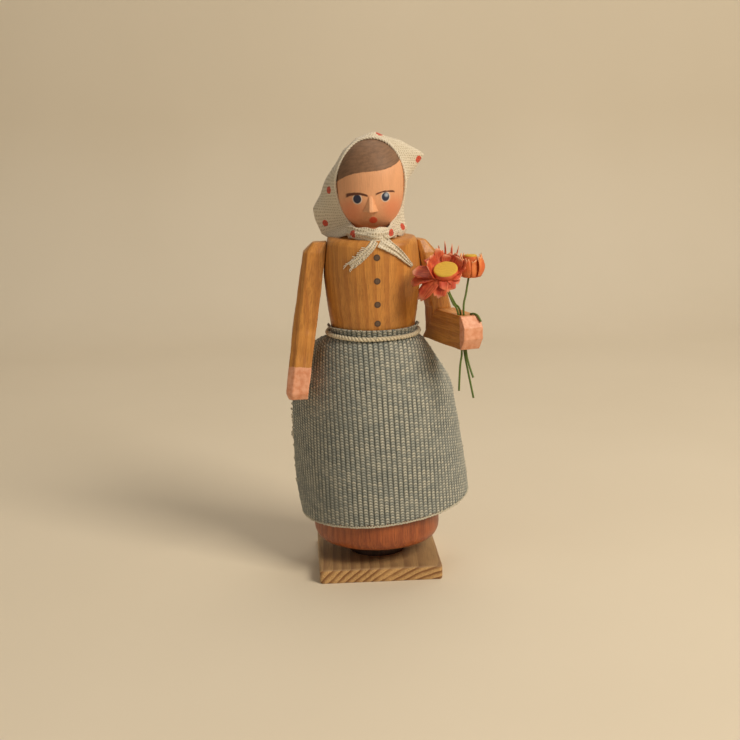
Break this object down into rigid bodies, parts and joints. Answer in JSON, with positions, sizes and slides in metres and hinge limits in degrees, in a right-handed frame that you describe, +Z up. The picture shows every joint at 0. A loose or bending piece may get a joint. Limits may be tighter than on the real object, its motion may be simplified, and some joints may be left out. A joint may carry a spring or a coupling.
{
  "type": "wooden folk doll",
  "caption": "Turned and carved wooden folk doll of a countrywoman with headscarf, apron and wood-shaving flowers, pegged arms that turn at the shoulders, on a square base.",
  "frame": {"origin": "middle of the square base's underside", "axes": "+Z up, the doll faces -Y, +X to the viewer's right when facing her"},
  "size_m": [0.0503, 0.0394, 0.1141],
  "materials": {
    "base_wood": "oiled softwood with strong growth rings",
    "bare_wood": "unfinished turned dowel",
    "skirt_wood": "red-brown stain, satin",
    "honey_wood": "honey stain, satin",
    "painted_head": "flesh-coloured paint over wood, satin",
    "gauze": "cream cotton gauze with red dots",
    "apron_cloth": "blue-grey ribbed weave with cream flecks",
    "twine": "cream cotton twine",
    "flower_core": "yellow painted disc with a red rim",
    "red_shaving": "dyed wood shavings",
    "orange_shaving": "dyed wood shavings",
    "green_wire": "green lacquered floral wire"
  },
  "bodies": {
    "root": {"base_plate": "base_wood", "foot_dowel": "bare_wood", "skirt_body": "skirt_wood", "waist_dowel": "bare_wood", "torso": "honey_wood", "neck_dowel": "bare_wood", "head": "painted_head", "nose": "painted_head", "right_shoulder_dowel": "bare_wood", "left_shoulder_dowel": "bare_wood", "headscarf": "gauze", "scarf_knot": "gauze", "scarf_tail_right": "gauze", "scarf_tail_left": "gauze", "apron": "apron_cloth", "waist_cord": "twine", "waist_knot": "twine", "cord_ends": "twine"},
    "right_arm_swing": {"right_arm": "honey_wood"},
    "left_arm_swing": {"left_upper_arm": "honey_wood", "left_elbow_dowel": "bare_wood", "left_forearm": "honey_wood", "large_flower_core": "flower_core", "large_flower_petals": "red_shaving", "large_flower_stems": "green_wire", "small_flower_core": "flower_core", "small_flower_petals": "orange_shaving", "small_flower_stem": "green_wire", "leaf_wire": "green_wire"}
  },
  "joints": [
    {"name": "right_shoulder", "type": "hinge", "parent": "root", "child": "right_arm_swing", "pos_m": [-0.012, 0, 0.083], "axis": [-0.9882, 0, 0.153], "range_deg": [0, 145]},
    {"name": "left_shoulder", "type": "hinge", "parent": "root", "child": "left_arm_swing", "pos_m": [0.012, 0, 0.083], "axis": [-0.9882, 0, -0.153], "range_deg": [-15, 65]}
  ]
}
